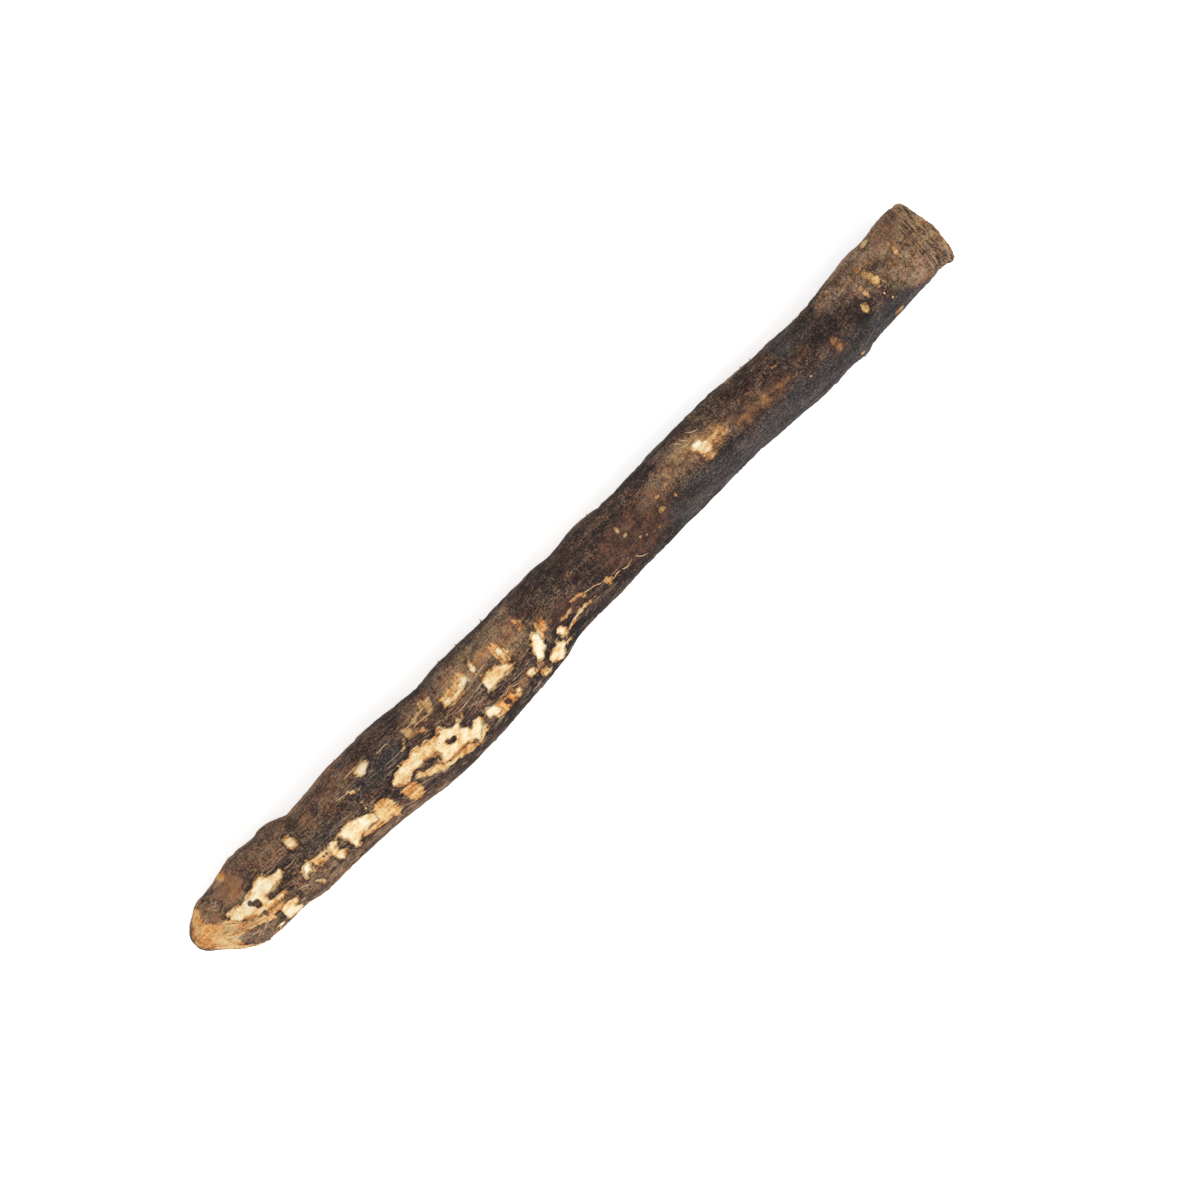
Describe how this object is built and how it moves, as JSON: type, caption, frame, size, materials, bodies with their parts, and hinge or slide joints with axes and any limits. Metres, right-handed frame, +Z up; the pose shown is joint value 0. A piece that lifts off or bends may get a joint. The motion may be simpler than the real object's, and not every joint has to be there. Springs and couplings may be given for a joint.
{
  "type": "black salsify root",
  "caption": "Long, slightly bowed black-skinned taproot, trimmed square at the crown and blunt at the tip, lying on its side with scraped patches of pale flesh.",
  "frame": {"origin": "on the surface that the root lies on, under the middle of its box", "axes": "+X along the root from its blunt tip to its cut crown, +Y to the root's left as seen from the tip, +Z up"},
  "size_m": [0.3052, 0.036, 0.0264],
  "materials": {
    "root_skin": "matt dark brown corky skin, with cream flesh where it is scraped off"
  },
  "bodies": {
    "root": {"salsify_root": "root_skin"}
  },
  "joints": []
}
